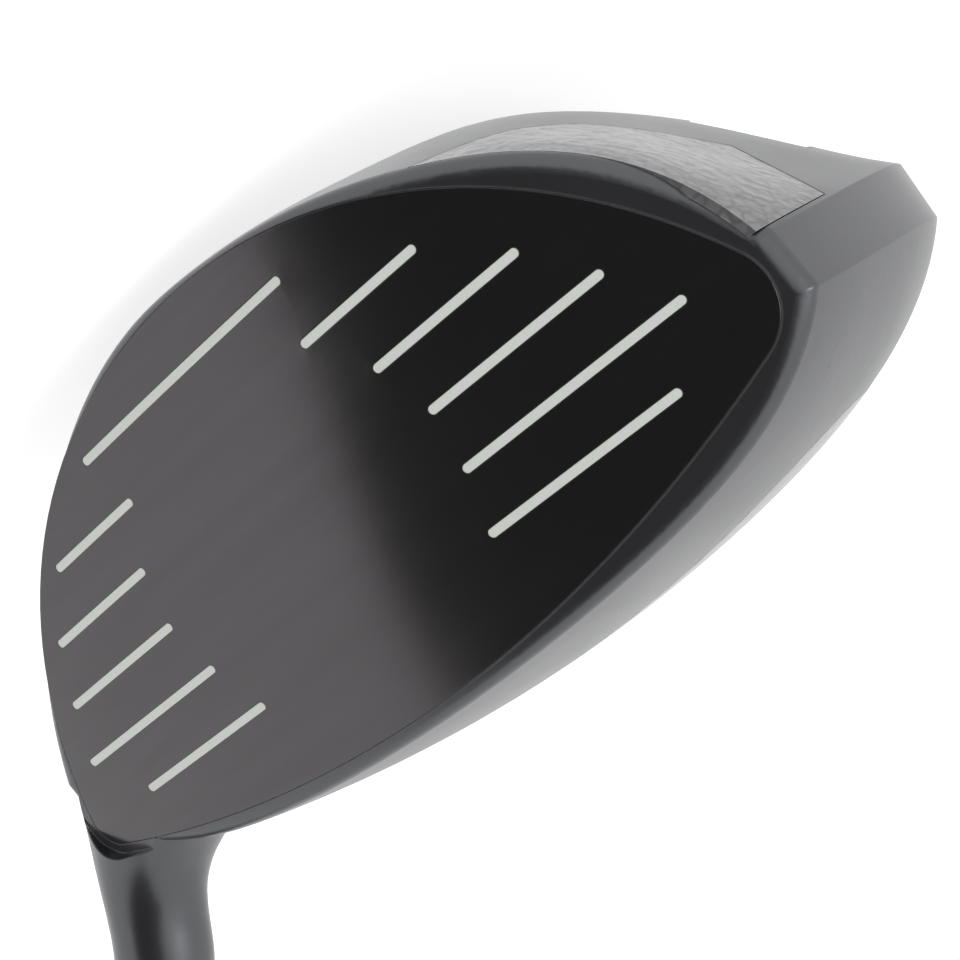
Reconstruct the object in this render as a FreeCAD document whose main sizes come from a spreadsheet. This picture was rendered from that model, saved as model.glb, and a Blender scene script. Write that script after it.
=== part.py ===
import FreeCAD, Part
import math
import os
import Sketcher
from FreeCAD import Placement, Rotation, Vector

# A right-handed golf driver, standing on its sole as a player sets it down.
# +Z is up, the face looks along -Y, the toe is at -X and the shaft leans towards +X.
# The origin is on the flat rest pad of the sole. Lengths are millimetres.

document = FreeCAD.newDocument("GolfDriver")
sheet = document.addObject("Spreadsheet::Sheet", "Sizes")

SIZES = [
    # the club as a whole
    ("club_length", 1156, "ground to grip end along the shaft axis"),
    ("lie_angle", 58, "shaft axis above the ground"),
    ("loft_angle", 10.5, "face leaning back from upright"),
    ("axis_offset", 32.8, "shaft axis from the origin along X, at the ground"),
    # outside of the head
    ("head_half_width", 65.5, "toe or heel from the middle of the head"),
    ("heel_narrowing", 0.13, "share that the heel is narrower by at the back"),
    ("head_half_depth", 70, "middle of the head to its tail"),
    ("plan_centre", 19, "widest place of the head, behind the origin"),
    ("crown_height", 61.7, "top of the crown above the ground"),
    ("crown_peak", 10, "top of the crown, behind the origin"),
    ("crown_front_drop", 3.7, "crown lower at the face than at its top"),
    ("crown_tail_drop", 32.5, "crown lower at the tail than at its top"),
    ("skirt_height", 46, "crease between crown and skirt, at the front"),
    ("skirt_drop", 11.5, "fall of that crease to the tail"),
    ("ridge_height", 39, "edge between skirt and sole, at the front"),
    ("ridge_drop", 12.5, "fall of that edge to the tail"),
    ("ridge_start", 13, "how far ahead of the origin the edges start to fall"),
    ("leading_rise", 4.1, "leading edge above the lowest line of the sole"),
    ("tail_rise", 22.5, "sole above the ground at the tail"),
    ("pad_sink", 0.4, "depth of the curved sole taken off by the rest pad"),
    ("front_squareness", 3, "power of the plan's curve ahead of its middle"),
    ("rear_squareness", 2.12, "power of the plan's curve behind its middle"),
    ("front_edge_radius", 2.2, "rounding between the face and the shell"),
    # shell
    ("shell_wall", 1.4, "thickness of the cast shell"),
    ("fit_gap", 0.05, "glue or seat clearance between fixed pieces"),
    ("running_gap", 0.05, "clearance between pieces that turn or slide"),
    ("travel_gap", 0.3, "clearance around the sliding weight"),
    # face
    ("face_radius", 305, "bulge and roll of the face"),
    ("face_height", 30, "middle of the face above the ground"),
    ("face_setback", 18, "middle of the face ahead of the origin"),
    ("plate_thickness", 3.2, "face plate"),
    ("plate_ledge", 1.6, "thickness of the rim behind the plate"),
    ("plate_rim", 3, "width of the rim behind the plate"),
    ("face_relief", 1.5, "flat left around the plate where the neck meets the face"),
    ("face_top", 29.3, "top of the plate above its middle"),
    ("face_bottom", 25.8, "bottom of the plate below its middle"),
    ("face_low_point", 5, "lowest point of the plate, towards the toe"),
    ("top_toe_radius", 175, "top edge on the toe side"),
    ("top_heel_radius", 230, "top edge on the heel side"),
    ("low_toe_radius", 62, "lower edge on the toe side"),
    ("low_heel_radius", 76, "lower edge on the heel side"),
    ("toe_corner_radius", 7, "toe corner of the plate"),
    ("heel_corner_radius", 3.5, "heel corner of the plate"),
    # score lines
    ("line_depth", 0.35, "depth of a score line"),
    ("line_half_width", 0.55, "half the width of a score line"),
    ("line_pitch", 7.2, "score line to score line"),
    ("lowest_line_drop", 18.7, "lowest score line below the middle of the face"),
    ("lowest_line_half", 18.8, "half the length of the lowest score line"),
    ("second_inner", 17.1, "inner end of the second pair"),
    ("second_outer", 34.1, "outer end of the second pair"),
    ("third_inner", 22.5, "inner end of the third pair"),
    ("third_outer", 42.9, "outer end of the third pair"),
    ("fourth_inner", 24.7, "inner end of the fourth pair"),
    ("fourth_outer", 48.6, "outer end of the fourth pair"),
    ("fifth_inner", 23.5, "inner end of the fifth pair"),
    ("fifth_outer", 53.6, "outer end of the fifth pair"),
    ("sixth_inner", 20.9, "inner end of the top pair"),
    ("sixth_outer", 47.2, "outer end of the top pair"),
    # composite panels
    ("panel_thickness", 0.7, "crown and sole panels"),
    ("panel_gap", 0.12, "seam around a panel"),
    ("crown_margin", 17, "head edge to the crown panel"),
    ("crown_front", 13, "front of the crown panel, behind the origin"),
    ("crown_corner", 12, "corner radius of the crown panel"),
    ("crown_ledge", 6, "width of the ledge under the crown panel"),
    ("ridge_margin", 0.5, "sole panels below the ridge"),
    ("toe_panel_front", -17, "front corner of the toe panel along Y"),
    ("toe_panel_reach", 34.8, "length of the toe panel"),
    ("toe_panel_inner", 38.5, "front corner of the toe panel from the middle"),
    ("toe_panel_tip", 55.5, "rear corner of the toe panel from the middle"),
    ("toe_panel_front_slant", 9, "front edge running back towards the ridge"),
    ("toe_panel_back_slant", 18, "rear edge running forward towards the ridge"),
    ("heel_panel_front", 8.5, "front corner of the heel panel along Y"),
    ("heel_panel_reach", 15, "length of the heel panel"),
    ("heel_panel_inner", 36, "front corner of the heel panel from the middle"),
    ("heel_panel_tip", 48, "rear corner of the heel panel from the middle"),
    ("heel_panel_front_slant", 0, "front edge running back towards the ridge"),
    ("heel_panel_back_slant", 3, "rear edge running forward towards the ridge"),
    ("brace_radius", 2.2, "bars behind the face"),
    ("brace_spread", 24, "bars from the middle"),
    ("brace_setback", 4, "bars ahead of the origin"),
    # hosel, adapter and its screw, as distances along the shaft axis from the ground
    ("hosel_radius", 6.9, "outside of the hosel"),
    ("hosel_top", 82, "top of the hosel"),
    ("neck_root", 44, "where the neck starts inside the head"),
    ("neck_end", 72, "where the neck becomes straight"),
    ("neck_flare", 12, "growth of the neck radius at its root"),
    ("heel_swell", 0.9, "outward bow of the neck on the heel side"),
    ("sleeve_radius", 5.7, "adapter sleeve"),
    ("sleeve_length", 35, "adapter sleeve below the hosel top"),
    ("sleeve_end_gap", 3, "space between the sleeve and the bore floor"),
    ("floor_thickness", 3, "floor between the bore and the screw port"),
    ("boss_wall", 0.9, "wall around the sleeve where the boss passes behind the face"),
    ("thread_length", 12, "threaded floor of the sleeve"),
    ("cog_height", 4, "loft cog between hosel and sleeve collar"),
    ("collar_height", 7, "sleeve collar"),
    ("ferrule_length", 18, "ferrule above the collar"),
    ("ferrule_tip_radius", 4.9, "ferrule at its top"),
    ("port_radius", 5.3, "screw port in the sole"),
    ("screw_radius", 2.5, "hosel screw"),
    ("screw_head_radius", 4.3, "hosel screw head"),
    ("screw_head_height", 4, "hosel screw head"),
    ("screw_engagement", 10, "screw inside the sleeve"),
    ("screw_clearance", 0.25, "hole through the bore floor, over the screw"),
    ("washer_thickness", 1, "washer under the screw head"),
    ("retainer_thickness", 1.2, "ring that keeps the screw in the port"),
    ("retainer_bore", 3.2, "wrench hole of that ring"),
    ("drive_half_width", 1.9, "half the flats of the screw's hexagon socket"),
    ("drive_depth", 2.4, "depth of that socket"),
    # shaft and grip
    ("shaft_tip_radius", 4.25, "shaft outside at the tip"),
    ("shaft_butt_radius", 7.65, "shaft outside under the grip"),
    ("shaft_wall", 1.2, "shaft wall"),
    ("taper_start", 130, "end of the parallel tip"),
    ("plug_length", 12, "plug in the shaft tip"),
    ("grip_length", 267, "grip with its cap"),
    ("grip_mouth_radius", 8.9, "grip at its lower end"),
    ("grip_top_radius", 13.2, "grip below the cap"),
    ("tape_thickness", 0.2, "grip tape"),
    ("tape_inset", 6, "tape ends inside the grip's mouth"),
    ("cap_height", 9, "grip cap"),
    ("cap_thickness", 4, "end wall of the cap"),
    ("cap_radius", 15, "cap outside"),
    ("cap_edge_radius", 2.5, "rounding of the cap's end"),
    ("vent_radius", 1.25, "vent hole in the cap"),
    # sliding weight and its track
    ("track_radius", 57, "middle of the track from its turning axis"),
    ("track_centre", 12, "turning axis of the track behind the origin"),
    ("track_height", 25, "track plane at its turning axis"),
    ("track_slope", 14.6, "fall of the track plane to the tail"),
    ("track_lean", 40, "lean of the track's section out of that plane"),
    ("track_half_angle", 71, "half the sweep of the track"),
    ("track_half_width", 7.5, "half the width of the groove in the sole"),
    ("track_wall", 1.2, "wall of the trough and of the rail"),
    ("track_outside", 16, "how far the groove is cut outside the track plane"),
    ("lip_depth", 3, "rail lips below the track plane"),
    ("lip_thickness", 1.2, "rail lips"),
    ("lip_opening", 2.35, "half the slot between the lips"),
    ("rail_room", 3, "room behind the lips for the clamp"),
    ("block_proud", 0.3, "weight's outer face outside the track plane"),
    ("block_half_angle", 8, "half the sweep of the weight"),
    ("clamp_thickness", 1.8, "clamp nut"),
    ("clamp_half_angle", 5, "half the sweep of the clamp nut"),
    ("weight_screw_radius", 2, "weight screw"),
    ("weight_head_radius", 3.3, "weight screw head"),
    ("weight_head_height", 1.4, "weight screw head"),
    ("weight_head_sink", 0.3, "screw head below the weight's outer face"),
    ("weight_drive_half_width", 1.5, "half the flats of the weight screw's socket"),
    ("weight_drive_depth", 0.9, "depth of that socket"),
]
for row, (alias, number, meaning) in enumerate(SIZES, 1):
    sheet.set(f"A{row}", meaning)
    sheet.set(f"B{row}", str(number))
    sheet.setAlias(f"B{row}", alias)
document.recompute()

X_AXIS = Vector(1, 0, 0)
Y_AXIS = Vector(0, 1, 0)
Z_AXIS = Vector(0, 0, 1)
SECTION_START = -46      # degrees around the plan ellipse where the head's sections begin
SECTION_END = 80         # and where they end
SECTION_COUNT = 10
SECTION_POINTS = 6       # points on each half of a section's crown and sole
FAR = 200                # longer than any part of the head


def size(alias):
    return float(sheet.get(alias))


def total(text):
    """Value of a sum of sizes, such as 'hosel_top + cog_height'; '0' is zero."""
    result, sign = 0.0, 1
    for word in text.split():
        if word in ("+", "-"):
            sign = 1 if word == "+" else -1
        elif word != "0":
            result += sign * size(word)
    return result


def formula(text):
    """The same sum as an expression on the sheet."""
    return " ".join(word if word in ("+", "-", "0") else "Sizes." + word for word in text.split())


def add(kind, name, place=None, **sizes):
    """A document object whose named properties are bound to sums of sizes."""
    item = document.addObject(kind, name)
    item.Label = name
    for prop, text in sizes.items():
        item.setExpression(prop, formula(text))
    if place:
        item.Placement = place
    return item


def shaped(name, shape):
    item = document.addObject("Part::Feature", name)
    item.Label = name
    item.Shape = shape
    return item


def cut(name, base, *tools):
    """Base without the tools, one after another; the last result has the name."""
    for number, tool in enumerate(tools, 1):
        step = add("Part::Cut", name if number == len(tools) else f"{name}_step_{number}")
        step.Base, step.Tool = base, tool
        base = step
    return base


def common(name, base, tool):
    item = add("Part::Common", name)
    item.Base, item.Tool = base, tool
    return item


def fuse(name, base, tool):
    item = add("Part::Fuse", name)
    item.Base, item.Tool = base, tool
    return item


def extrude(name, base, direction, back, forward):
    """A solid from a flat closed outline, from back behind it to forward in front of it."""
    item = add("Part::Extrusion", name)
    item.Base = base
    item.DirMode = "Custom"
    item.Dir = direction
    item.Solid = True
    item.LengthFwd = forward
    item.LengthRev = back
    return item


def rounded(name, base, edges, radius):
    """Base with the edges that the test picks rounded to one radius."""
    document.recompute()
    picked = [number for number, edge in enumerate(base.Shape.Edges, 1) if edges(edge)]
    item = add("Part::Fillet", name)
    item.Base = base
    item.Edges = [(number, radius, radius) for number in picked]
    return item


# ---------------------------------------------------------------- frames

def face_frame():
    """X to the heel, Y up the face, Z out of the face, at the middle of the face."""
    middle = Vector(0, -size("face_setback"), size("face_height"))
    return Placement(middle, Rotation(X_AXIS, 90 - size("loft_angle")))


def shaft_frame():
    """Z up the shaft axis, from the point where that axis meets the ground."""
    return Placement(Vector(size("axis_offset"), 0, 0), Rotation(Y_AXIS, 90 - size("lie_angle")))


def track_frame():
    """Z is the axis that the weight travels about, Y points to the tail."""
    middle = Vector(0, size("track_centre"), size("track_height"))
    return Placement(middle, Rotation(X_AXIS, -size("track_slope")))


def weight_frame():
    """Z into the head at the middle of the weight's outer face."""
    lean = Placement(Vector(0, size("track_radius"), 0), Rotation(X_AXIS, size("track_lean")))
    outward = Placement(Vector(0, 0, -size("block_proud")), Rotation())
    return track_frame() * lean * outward


FACE = face_frame()
SHAFT = shaft_frame()
TRACK = track_frame()
WEIGHT = weight_frame()


# ---------------------------------------------------------------- outside of the head

def front_of_head():
    return -size("face_setback") - 4


def tail_of_head():
    return size("plan_centre") + size("head_half_depth")


def smooth_step(value):
    value = min(1.0, max(0.0, value))
    return value * value * (3 - 2 * value)


def crown_line(y):
    """Height of the crown's middle line."""
    peak = size("crown_peak")
    if y < peak:
        return size("crown_height") - size("crown_front_drop") * ((peak - y) / (peak - front_of_head())) ** 2
    return size("crown_height") - size("crown_tail_drop") * ((y - peak) / (tail_of_head() - peak)) ** 2.1


def fall(y):
    """How far along the falling edges a section is, 0 at their start and 1 at the tail."""
    start = -size("ridge_start")
    return max(0.0, y - start) / (tail_of_head() - start)


def keel_line(y):
    """Height of the sole's middle line."""
    if y < 0:
        return size("leading_rise") * (y / front_of_head()) ** 2 - size("pad_sink")
    return size("tail_rise") * (y / tail_of_head()) ** 2.2 - size("pad_sink")


def crown_arch(u):
    """Share of the crown's fall from its middle line to its crease, at a share u of the width."""
    return 0.53 * u ** 2 + 0.10 * u ** 4 + 0.37 * u ** 8


def round_rise(u, fullness):
    return (1 - math.sqrt(1 - fullness * u * u)) / (1 - math.sqrt(1 - fullness))


def bent_rise(u):
    """A flat sole that turns up in a soft bend beyond half its width."""
    bend, softness = 0.60, 0.14
    low = math.hypot(bend, softness) - bend
    high = math.hypot(1 - bend, softness) + 1 - bend
    return (math.hypot(u - bend, softness) + u - bend - low) / (high - low)


def sole_rise(u, y, toe):
    """Share of the rise from keel to ridge, at a share u of the half width."""
    front = round_rise(u, 0.98) if toe else 0.4 * round_rise(u, 0.84) + 0.6 * u ** 1.6
    share = smooth_step((y + size("ridge_start")) / (28 if toe else 40))
    return front + (bent_rise(u) - front) * share


def half_width(y, inset, toe):
    along = (y - size("plan_centre")) / (size("head_half_depth") - inset)
    power = size("front_squareness") if along < 0 else size("rear_squareness")
    share = max(0.0, 1 - abs(along) ** power) ** (1 / power)
    narrow = 0 if toe else size("heel_narrowing") * max(0.14, smooth_step(y / 50))
    return (size("head_half_width") - inset) * share * (1 - narrow)


def spline(points):
    curve = Part.BSplineCurve()
    curve.interpolate(points)
    return curve.toShape()


def head_section(y, inset):
    """Closed section of the head across Y: crown, toe skirt, sole and heel skirt."""
    crown_top = crown_line(y) - inset
    crease = size("skirt_height") - size("skirt_drop") * fall(y) ** 1.1 - 0.8 * inset
    ridge = size("ridge_height") - size("ridge_drop") * fall(y) + 0.9 * inset
    keel = keel_line(y) + inset
    steps = [number / SECTION_POINTS for number in range(-SECTION_POINTS, SECTION_POINTS + 1)]
    crown, sole = [], []
    for step in steps:
        toe = step < 0
        x = step * half_width(y, inset, toe)
        crown.insert(0, Vector(x, y, crown_top - (crown_top - crease) * crown_arch(abs(step))))
        sole.append(Vector(x, y, keel + (ridge - keel) * sole_rise(abs(step), y, toe)))
    toe_skirt = Part.makeLine(crown[-1], sole[0])
    heel_skirt = Part.makeLine(sole[-1], crown[0])
    return Part.Wire([spline(crown), toe_skirt, spline(sole), heel_skirt])


def head_form(name, inset_text):
    """The head without its face and neck, smaller all round by the inset."""
    inset = total(inset_text)
    depth = size("head_half_depth") - inset
    sections = []
    for number in range(SECTION_COUNT):
        share = number / (SECTION_COUNT - 1)
        angle = math.radians(SECTION_START + (SECTION_END - SECTION_START) * share)
        y = size("plan_centre") + depth * math.sin(angle)
        sections.append(shaped(f"{name}_section_{number}", head_section(y, inset)))
    form = add("Part::Loft", name)
    form.Sections = sections
    form.Solid = True
    form.Ruled = False
    return form


def face_ball(name, depth_text):
    """The sphere that the face is part of, moved into the head by a depth."""
    centre = FACE.multVec(Vector(0, 0, -size("face_radius")))
    return add("Part::Sphere", name, Placement(centre, Rotation()), Radius="face_radius - " + depth_text)


def neck_form():
    """Hosel and neck: circles around the shaft axis that swell towards the crown and the tail."""
    circles = []
    root, end = size("neck_root"), size("neck_end")
    steps = 5
    stations = [root + (end - root) * number / steps for number in range(steps + 1)]
    stations += [(end + size("hosel_top")) / 2, size("hosel_top")]
    for number, height in enumerate(stations):
        share = max(0.0, end - height) / (end - root)
        flare = size("neck_flare") * share ** 2.1
        swell = size("heel_swell") * math.sin(math.pi * min(1.0, share / 0.8))
        shift = Vector((swell - flare) * math.sin(math.radians(size("lie_angle"))), 0.25 * flare, 0)
        place = SHAFT * Placement(Vector(shift.x, shift.y, height), Rotation())
        circle = add("Part::Circle", f"neck_circle_{number}", place)
        circle.Radius = size("hosel_radius") + flare
        circles.append(circle)
    neck = add("Part::Loft", "neck")
    neck.Sections = circles
    neck.Solid = True
    return neck


# ---------------------------------------------------------------- outline of the face plate

def corner_centre(first, first_radius, second, second_radius, side):
    """Where two circles meet, on the side asked for."""
    gap = second - first
    along = (first_radius ** 2 - second_radius ** 2 + gap.Length ** 2) / (2 * gap.Length)
    aside = math.sqrt(first_radius ** 2 - along ** 2)
    direction = Vector(gap).normalize()
    across = Vector(-direction.y, direction.x, 0)
    meetings = [first + direction * along + across * aside, first + direction * along - across * aside]
    return max(meetings, key=lambda point: side * point.x)


def arc(centre, radius, start, end):
    middle = ((start - centre).normalize() + (end - centre).normalize()).normalize()
    return Part.Arc(start, centre + middle * radius, end).toShape()


def face_outline(name, shrink_text):
    """Outline of the face plate in the face's own plane, smaller all round by the shrink."""
    shrink = total(shrink_text)
    low_x = -size("face_low_point")
    heel_top_radius, toe_top_radius = size("top_heel_radius"), size("top_toe_radius")
    heel_low_radius, toe_low_radius = size("low_heel_radius"), size("low_toe_radius")
    heel_top = Vector(0, size("face_top") - heel_top_radius, 0)
    toe_top = Vector(0, size("face_top") - toe_top_radius, 0)
    heel_low = Vector(low_x, heel_low_radius - size("face_bottom"), 0)
    toe_low = Vector(low_x, toe_low_radius - size("face_bottom"), 0)
    heel_corner, toe_corner = size("heel_corner_radius"), size("toe_corner_radius")
    heel = corner_centre(heel_top, heel_top_radius - heel_corner, heel_low, heel_low_radius - heel_corner, 1)
    toe = corner_centre(toe_top, toe_top_radius - toe_corner, toe_low, toe_low_radius - toe_corner, -1)

    def touch(centre, radius, corner):
        return centre + Vector(corner - centre).normalize() * (radius - shrink)

    top = Vector(0, size("face_top") - shrink, 0)
    bottom = Vector(low_x, shrink - size("face_bottom"), 0)
    heel_up, heel_down = touch(heel_top, heel_top_radius, heel), touch(heel_low, heel_low_radius, heel)
    toe_up, toe_down = touch(toe_top, toe_top_radius, toe), touch(toe_low, toe_low_radius, toe)
    edges = [
        arc(heel_top, heel_top_radius - shrink, heel_up, top),
        arc(toe_top, toe_top_radius - shrink, top, toe_up),
        arc(toe, toe_corner - shrink, toe_up, toe_down),
        arc(toe_low, toe_low_radius - shrink, toe_down, bottom),
        arc(heel_low, heel_low_radius - shrink, bottom, heel_down),
        arc(heel, heel_corner - shrink, heel_down, heel_up),
    ]
    outline = shaped(name, Part.Wire(edges))
    outline.Placement = FACE
    return outline


def face_prism(name, shrink_text):
    return extrude(name, face_outline(name + "_outline", shrink_text), FACE.Rotation.multVec(Z_AXIS), 25, 15)


# ---------------------------------------------------------------- sketches

def tie(sketch, kind, geometry, vertex, text, side=1):
    """Hold a sketch point at a distance from the sketch's origin; side -1 is the negative side."""
    if text == "0":
        axis = -2 if kind == "DistanceX" else -1
        sketch.addConstraint(Sketcher.Constraint("PointOnObject", geometry, vertex, axis))
        return
    ends = (-1, 1, geometry, vertex) if side > 0 else (geometry, vertex, -1, 1)
    number = sketch.addConstraint(Sketcher.Constraint(kind, *ends, total(text)))
    sketch.setExpression(f"Constraints[{number}]", formula(text))


def plane_of(body, role):
    return next(item for item in body.Origin.OriginFeatures if item.Role == role)


def polygon(sketch, points):
    """Closed outline through points given as sums of sizes for X and Y."""
    places = [Vector(total(x), total(y), 0) for x, y in points]
    count = len(points)
    for number in range(count):
        sketch.addGeometry(Part.LineSegment(places[number], places[(number + 1) % count]), False)
    for number in range(count):
        following = (number + 1) % count
        sketch.addConstraint(Sketcher.Constraint("Coincident", number, 2, following, 1))
    for number, (x, y) in enumerate(points):
        tie(sketch, "DistanceX", number, 1, x)
        tie(sketch, "DistanceY", number, 1, y)


def turned(name, place, points):
    """A turned piece: its section, as radius and height, goes once around the body's Z axis."""
    body = document.addObject("PartDesign::Body", name)
    body.Label = name
    sketch = body.newObject("Sketcher::SketchObject", name + "_section")
    sketch.AttachmentSupport = [(plane_of(body, "XZ_Plane"), "")]
    sketch.MapMode = "FlatFace"
    polygon(sketch, points)
    turn = body.newObject("PartDesign::Revolution", name + "_turn")
    turn.Profile = sketch
    turn.ReferenceAxis = (sketch, ["V_Axis"])
    turn.Angle = 360
    body.Tip = turn
    body.Placement = place
    return body


def hexagon_socket(body, half_flats, base_height, depth):
    """A hexagon socket cut upwards from the low end of a turned screw."""
    sketch = body.newObject("Sketcher::SketchObject", body.Name + "_socket_outline")
    sketch.AttachmentSupport = [(plane_of(body, "XY_Plane"), "")]
    sketch.MapMode = "FlatFace"
    sketch.AttachmentOffset = Placement(Vector(0, 0, total(base_height)), Rotation())
    sketch.setExpression("AttachmentOffset.Base.z", formula(base_height))
    reach = size(half_flats) / math.cos(math.pi / 6)
    corners = [Vector(reach, 0, 0)]
    corners = [Rotation(Z_AXIS, 60 * number).multVec(corners[0]) for number in range(6)]
    for number in range(6):
        sketch.addGeometry(Part.LineSegment(corners[number], corners[(number + 1) % 6]), False)
    guide = sketch.addGeometry(Part.Circle(Vector(0, 0, 0), Z_AXIS, reach), True)
    for number in range(6):
        sketch.addConstraint(Sketcher.Constraint("Coincident", number, 2, (number + 1) % 6, 1))
        sketch.addConstraint(Sketcher.Constraint("PointOnObject", number, 1, guide))
    for number in range(1, 6):
        sketch.addConstraint(Sketcher.Constraint("Equal", 0, number))
    sketch.addConstraint(Sketcher.Constraint("Coincident", guide, 3, -1, 1))
    sketch.addConstraint(Sketcher.Constraint("PointOnObject", 0, 1, -1))
    radius = sketch.addConstraint(Sketcher.Constraint("Radius", guide, reach))
    sketch.setExpression(f"Constraints[{radius}]", f"Sizes.{half_flats} / cos(30 deg)")
    document.recompute()
    before = body.Shape.Volume
    pocket = body.newObject("PartDesign::Pocket", body.Name + "_socket")
    pocket.Profile = sketch
    pocket.setExpression("Length", formula(depth))
    pocket.Reversed = True
    body.Tip = pocket
    document.recompute()
    if body.Shape.Volume > before - 1:
        raise ValueError(f"{body.Label}: the socket cuts nothing")
    return body


def score_line(sketch, left, left_side, right, right_side, height, height_side):
    """One score line with round ends between two end centres."""
    start = left_side * total(left)
    end = right_side * total(right)
    level = height_side * total(height)
    half = size("line_half_width")
    right_circle = Part.Circle(Vector(end, level, 0), Z_AXIS, half)
    left_circle = Part.Circle(Vector(start, level, 0), Z_AXIS, half)
    right_end = sketch.addGeometry(Part.ArcOfCircle(right_circle, -math.pi / 2, math.pi / 2), False)
    upper = sketch.addGeometry(
        Part.LineSegment(Vector(end, level + half, 0), Vector(start, level + half, 0)), False)
    left_end = sketch.addGeometry(Part.ArcOfCircle(left_circle, math.pi / 2, 3 * math.pi / 2), False)
    lower = sketch.addGeometry(
        Part.LineSegment(Vector(start, level - half, 0), Vector(end, level - half, 0)), False)
    ring = [right_end, upper, left_end, lower, right_end]
    for one, following in zip(ring, ring[1:]):
        sketch.addConstraint(Sketcher.Constraint("Tangent", one, 2, following, 1))
    sketch.addConstraint(Sketcher.Constraint("Equal", right_end, left_end))
    radius = sketch.addConstraint(Sketcher.Constraint("Radius", right_end, half))
    sketch.setExpression(f"Constraints[{radius}]", "Sizes.line_half_width")
    tie(sketch, "DistanceX", right_end, 3, right, right_side)
    tie(sketch, "DistanceX", left_end, 3, left, left_side)
    tie(sketch, "DistanceY", right_end, 3, height, height_side)
    tie(sketch, "DistanceY", left_end, 3, height, height_side)


def score_lines():
    """Eleven score lines: one low in the middle, and five pairs that leave the middle clear."""
    sketch = document.addObject("Sketcher::SketchObject", "score_lines")
    score_line(sketch, "lowest_line_half", -1, "lowest_line_half", 1, "lowest_line_drop", -1)
    height = "lowest_line_drop"
    for number, pair in enumerate(("second", "third", "fourth", "fifth", "sixth")):
        height += " - line_pitch"
        side = -1
        level = height
        if total(height) < 0:
            level = "line_pitch" + " + line_pitch" * number + " - lowest_line_drop"
            side = 1
        score_line(sketch, pair + "_outer", -1, pair + "_inner", -1, level, side)
        score_line(sketch, pair + "_inner", 1, pair + "_outer", 1, level, side)
    sketch.Placement = FACE
    return sketch


# ---------------------------------------------------------------- regions of the panels

def crown_region(name, inset_text):
    """Upright prism over the crown panel: an ellipse cut off straight behind the face."""
    centre = Vector(0, size("plan_centre"), size("ridge_height"))
    outline = add("Part::Ellipse", name + "_ellipse", Placement(centre, Rotation(Z_AXIS, 90)),
                  MajorRadius="head_half_depth - crown_margin - " + inset_text,
                  MinorRadius="head_half_width - crown_margin - " + inset_text)
    oval = extrude(name + "_oval", outline, Z_AXIS, 0, FAR)
    front = add("Part::Box", name + "_front", Length="head_half_width + head_half_width",
                Width="club_length", Height="club_length")
    front.Placement = Placement(
        Vector(-size("head_half_width"), total("crown_front + " + inset_text), 0), Rotation())
    plain = common(name + "_plain", oval, front)

    def upright_corner(edge):
        return edge.Length > FAR / 2 and edge.Vertexes[0].Y < size("plan_centre")

    return rounded(name, plain, upright_corner, size("crown_corner") - total(inset_text))


def below_ridge(name, margin_text):
    """Everything under the edge between skirt and sole, less a margin."""
    slope = math.degrees(math.atan2(size("ridge_drop"), tail_of_head() + size("ridge_start")))
    edge = Vector(-FAR / 2, -size("ridge_start"), size("ridge_height") - total(margin_text))
    place = Placement(edge, Rotation(X_AXIS, -slope)) * Placement(Vector(0, -FAR / 4, -FAR), Rotation())
    item = add("Part::Box", name, place)
    item.Length = item.Width = item.Height = FAR
    return item


def sole_panel_region(name, end, shrink_text):
    """Upright prism over the sole panel at one end of the head, open to the edge of the head."""
    side = -1 if end == "toe" else 1
    front, reach = size(end + "_panel_front"), size(end + "_panel_reach")
    inner, tip = size(end + "_panel_inner"), size(end + "_panel_tip")
    outer, back = size("head_half_width") + 8, front + reach
    start = Vector(side * inner, front, 0)
    bow = Vector(side * (inner + 0.43 * (tip - inner)), front + 0.47 * reach, 0)
    rear = Vector(side * tip, back, 0)
    far_back = Vector(side * outer, back - size(end + "_panel_back_slant"), 0)
    far_front = Vector(side * outer, front + size(end + "_panel_front_slant"), 0)
    wire = Part.Wire([
        Part.Arc(start, bow, rear).toShape(),
        Part.makeLine(rear, far_back),
        Part.makeLine(far_back, far_front),
        Part.makeLine(far_front, start),
    ])
    outline = shaped(name + "_outline", wire)
    shrink = total(shrink_text)
    if shrink:
        inner_outline = add("Part::Offset2D", name + "_inner_outline")
        inner_outline.Source = outline
        inner_outline.Join = "Intersection"
        inner_outline.setExpression("Value", "-" + formula(shrink_text))
        outline = inner_outline
    prism = extrude(name + "_prism", outline, Z_AXIS, 10, size("ridge_height") + 10)
    return common(name, prism, below_ridge(name + "_low", "ridge_margin + " + shrink_text))


# ---------------------------------------------------------------- track pieces

def track_ring(name, across, depths, half_angle):
    """A rectangle swept around the track's axis: half width, two depths into the head, sweep."""
    lean = math.radians(size("track_lean"))
    radius = size("track_radius")
    corners = []
    low, high = total(depths[0]), total(depths[1])
    half = total(across)
    for aside, depth in ((-half, low), (half, low), (half, high), (-half, high)):
        out = radius + aside * math.cos(lean) - depth * math.sin(lean)
        up = aside * math.sin(lean) + depth * math.cos(lean)
        corners.append(Vector(out, 0, up))
    profile = shaped(name + "_profile", Part.Face(Part.makePolygon(corners + corners[:1])))
    profile.Placement = TRACK * Placement(Vector(), Rotation(Z_AXIS, 90 - total(half_angle)))
    ring = add("Part::Revolution", name, Angle=half_angle + " + " + half_angle)
    ring.Source = profile
    ring.Axis = TRACK.Rotation.multVec(Z_AXIS)
    ring.Base = TRACK.Base
    return ring


# ---------------------------------------------------------------- the head

outer_form = head_form("outer_form", "0")
panel_form = head_form("panel_form", "panel_thickness")
pocket_form = head_form("pocket_form", "panel_thickness + fit_gap")
inner_form = head_form("inner_form", "shell_wall")

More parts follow.
